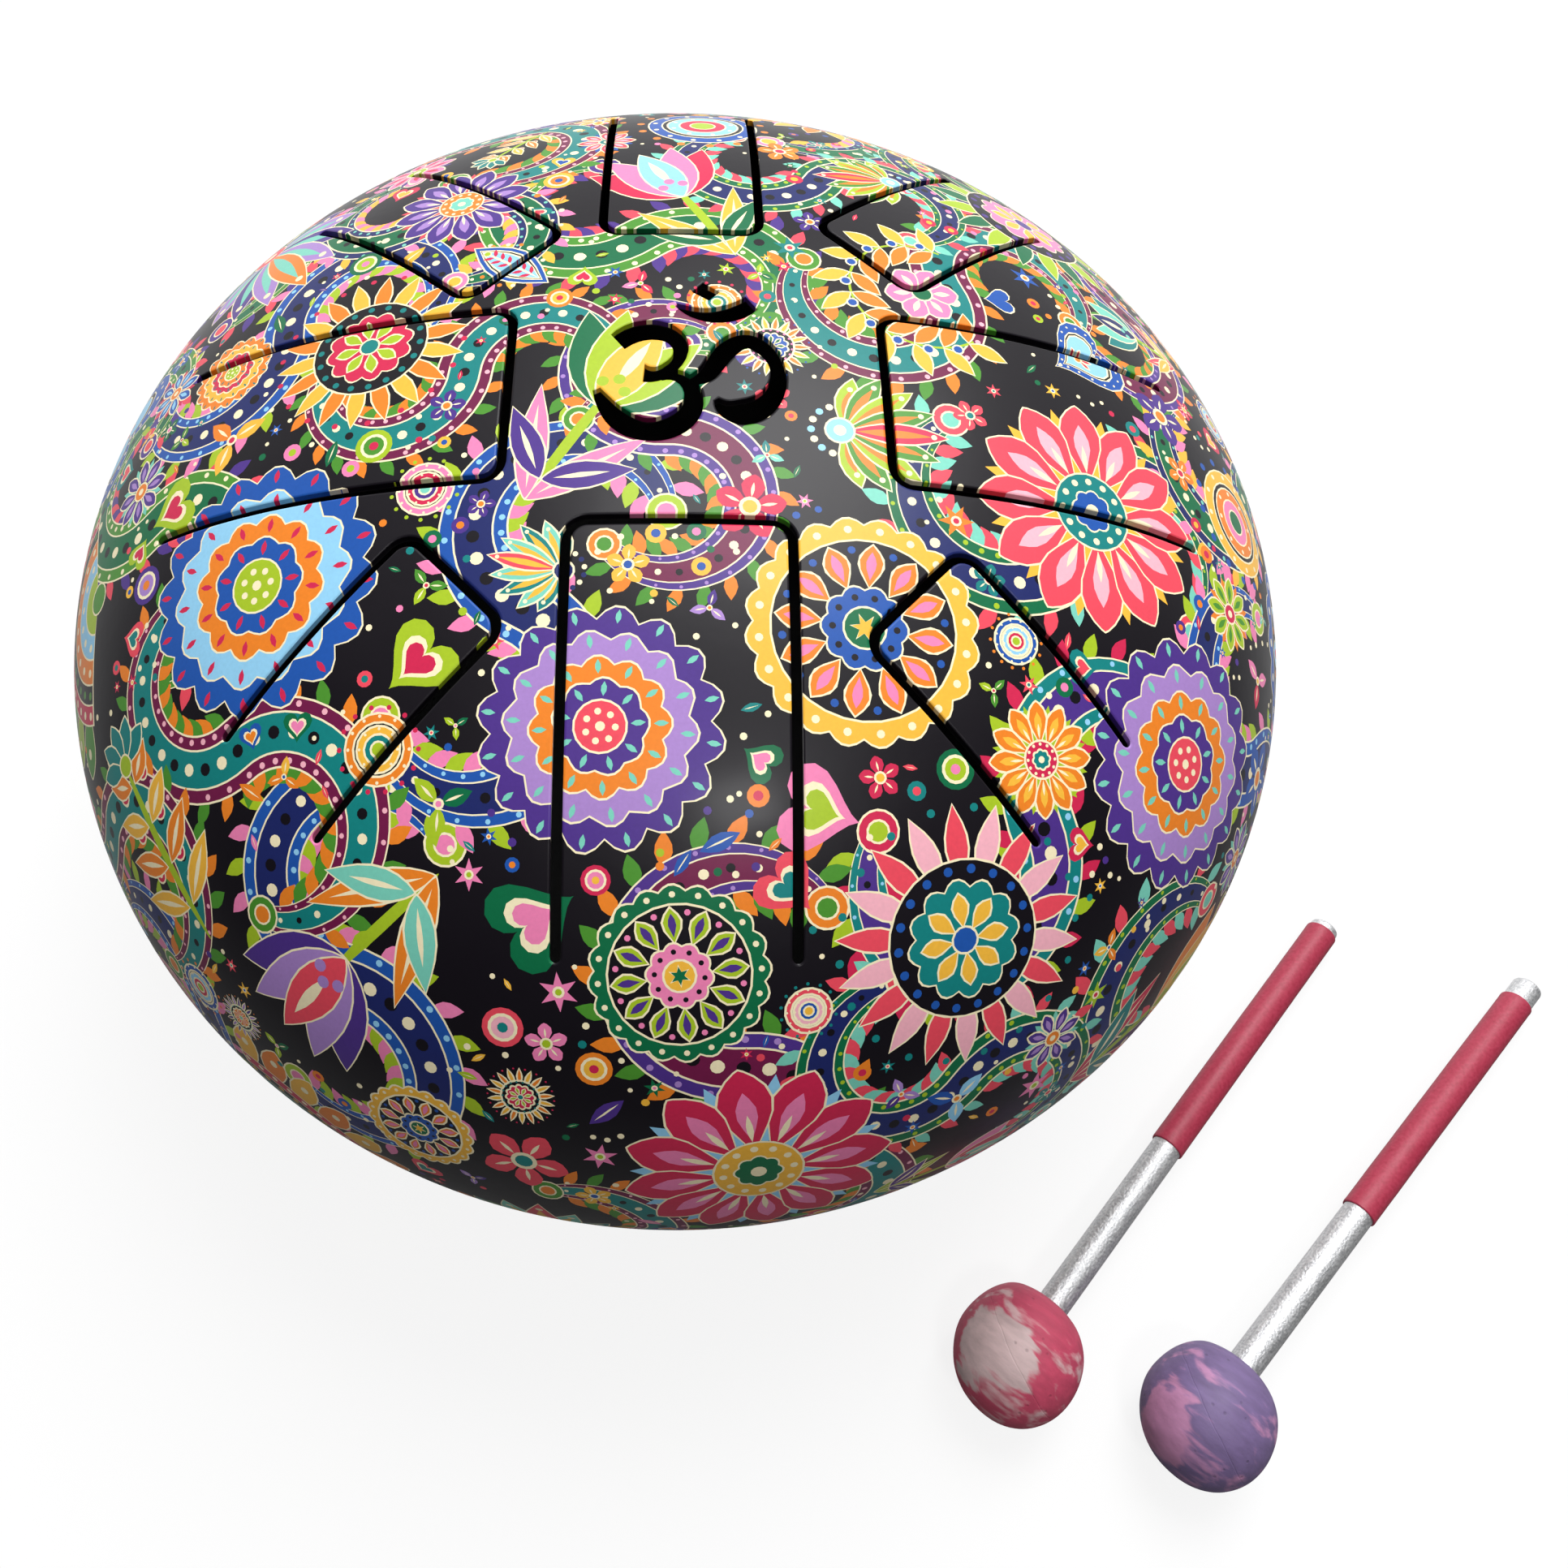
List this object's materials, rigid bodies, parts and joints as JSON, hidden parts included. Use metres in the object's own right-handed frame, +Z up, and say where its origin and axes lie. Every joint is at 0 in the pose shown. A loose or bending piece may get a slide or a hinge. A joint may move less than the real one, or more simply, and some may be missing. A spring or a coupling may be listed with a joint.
{
  "type": "steel tongue drum",
  "caption": "Round steel tongue drum: domed shell with slit-cut tongues and a sound hole over a bowl on rubber feet, with a pair of rubber-headed mallets.",
  "frame": {"origin": "on the drum's axis, on the plane that the feet and the mallets rest on", "axes": "+Z up along the drum's axis; the longest tongue points to -Y, the side the picture was taken from"},
  "size_m": [0.34, 0.2975, 0.15],
  "materials": {
    "printed_steel": "black ground with a many-coloured folk print under satin clear lacquer",
    "foot_rubber": "matte moulded rubber",
    "zinc_steel": "bright zinc plate",
    "bare_aluminium": "satin drawn aluminium",
    "grip_sleeve": "crimson shrink sleeve, satin",
    "head_rubber_1": "crimson rubber marbled with pale pink grey",
    "head_rubber_2": "violet rubber marbled with lilac pink"
  },
  "bodies": {
    "drum": {"top_shell": "printed_steel", "bottom_shell": "printed_steel", "rubber_foot_1": "foot_rubber", "foot_washer_1": "zinc_steel", "foot_screw_1": "zinc_steel", "foot_nut_1": "zinc_steel", "rubber_foot_2": "foot_rubber", "foot_washer_2": "zinc_steel", "foot_screw_2": "zinc_steel", "foot_nut_2": "zinc_steel", "rubber_foot_3": "foot_rubber", "foot_washer_3": "zinc_steel", "foot_screw_3": "zinc_steel", "foot_nut_3": "zinc_steel", "rubber_foot_4": "foot_rubber", "foot_washer_4": "zinc_steel", "foot_screw_4": "zinc_steel", "foot_nut_4": "zinc_steel"},
    "mallet_1": {"mallet_1_shaft": "bare_aluminium", "mallet_1_sleeve": "grip_sleeve", "mallet_1_head": "head_rubber_1"},
    "mallet_2": {"mallet_2_shaft": "bare_aluminium", "mallet_2_sleeve": "grip_sleeve", "mallet_2_head": "head_rubber_2"}
  },
  "joints": [
    {"name": "mallet_1_lift", "type": "slide", "parent": "drum", "child": "mallet_1", "axis": [0, 0, 1], "range_m": [0, 0.15]},
    {"name": "mallet_2_lift", "type": "slide", "parent": "drum", "child": "mallet_2", "axis": [0, 0, 1], "range_m": [0, 0.15]}
  ]
}
